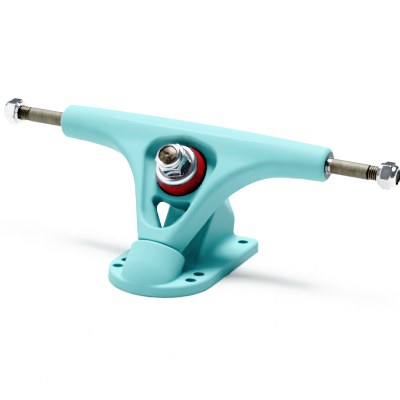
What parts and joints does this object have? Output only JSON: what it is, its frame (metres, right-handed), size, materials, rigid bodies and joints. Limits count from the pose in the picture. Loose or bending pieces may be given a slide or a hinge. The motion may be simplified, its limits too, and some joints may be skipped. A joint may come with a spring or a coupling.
{
  "type": "longboard truck",
  "caption": "Reverse-kingpin skateboard truck: cast hanger and axle that steer on rubber bushings about a raked pivot, over a baseplate with deck bolt holes.",
  "frame": {"origin": "centre of the outer bolt rectangle, on the baseplate's deck face", "axes": "+X along the axle, -Y towards the pivot end, +Z away from the deck, as the truck stands in the picture"},
  "size_m": [0.2236, 0.091, 0.0738],
  "materials": {
    "mint_paint": "satin",
    "axle_steel": "satin",
    "kingpin_steel": "satin",
    "nut_chrome": "polished",
    "washer_chrome": "polished",
    "red_urethane": "satin",
    "cup_black": "matte",
    "nylon": "satin"
  },
  "bodies": {
    "base": {"baseplate": "mint_paint", "pivot_cup": "cup_black", "kingpin": "kingpin_steel", "boardside_washer": "washer_chrome", "boardside_bushing": "red_urethane", "roadside_bushing": "red_urethane"},
    "hanger": {"hanger": "mint_paint", "axle": "axle_steel"},
    "roadside_washer": {"roadside_washer": "washer_chrome"},
    "kingpin_nut": {"kingpin_nut": "nut_chrome", "kingpin_nut_insert": "nylon"},
    "left_washers": {"speed_washer_left_inner": "washer_chrome", "speed_washer_left_outer": "washer_chrome"},
    "left_nut": {"axle_nut_left": "nut_chrome", "axle_nut_insert_left": "nylon"},
    "right_washers": {"speed_washer_right_inner": "washer_chrome", "speed_washer_right_outer": "washer_chrome"},
    "right_nut": {"axle_nut_right": "nut_chrome", "axle_nut_insert_right": "nylon"}
  },
  "joints": [
    {"name": "hanger_steer", "type": "hinge", "parent": "base", "child": "hanger", "pos_m": [0, 0.00045, 0.04877], "axis": [0, 0.6428, 0.766], "range_deg": [-20, 20], "stiffness_Nm_per_rad": 15, "deforming": ["boardside_bushing", "roadside_bushing"]},
    {"name": "roadside_washer_slide", "type": "slide", "parent": "base", "child": "roadside_washer", "axis": [0, -0.766, 0.6428], "range_m": [0, 0.0032]},
    {"name": "kingpin_nut_spin", "type": "hinge", "parent": "roadside_washer", "child": "kingpin_nut", "pos_m": [0, -0.01104, 0.05841], "axis": [0, -0.766, 0.6428], "range_deg": [0, 1080]},
    {"name": "left_washers_slide", "type": "slide", "parent": "hanger", "child": "left_washers", "axis": [-1, 0, 0], "range_m": [0, 0.0255]},
    {"name": "left_nut_spin", "type": "hinge", "parent": "left_washers", "child": "left_nut", "pos_m": [-0.104, 0.01148, 0.06347], "axis": [-1, 0, 0], "range_deg": [0, 8640]},
    {"name": "right_washers_slide", "type": "slide", "parent": "hanger", "child": "right_washers", "axis": [1, 0, 0], "range_m": [0, 0.0255]},
    {"name": "right_nut_spin", "type": "hinge", "parent": "right_washers", "child": "right_nut", "pos_m": [0.104, 0.01148, 0.06347], "axis": [1, 0, 0], "range_deg": [0, 8640]}
  ],
  "couplings": [
    {"joint": "roadside_washer_slide", "follows": "kingpin_nut_spin", "m_per_rad": 0.00016844},
    {"joint": "left_washers_slide", "follows": "left_nut_spin", "m_per_rad": 0.00016844},
    {"joint": "right_washers_slide", "follows": "right_nut_spin", "m_per_rad": 0.00016844}
  ]
}
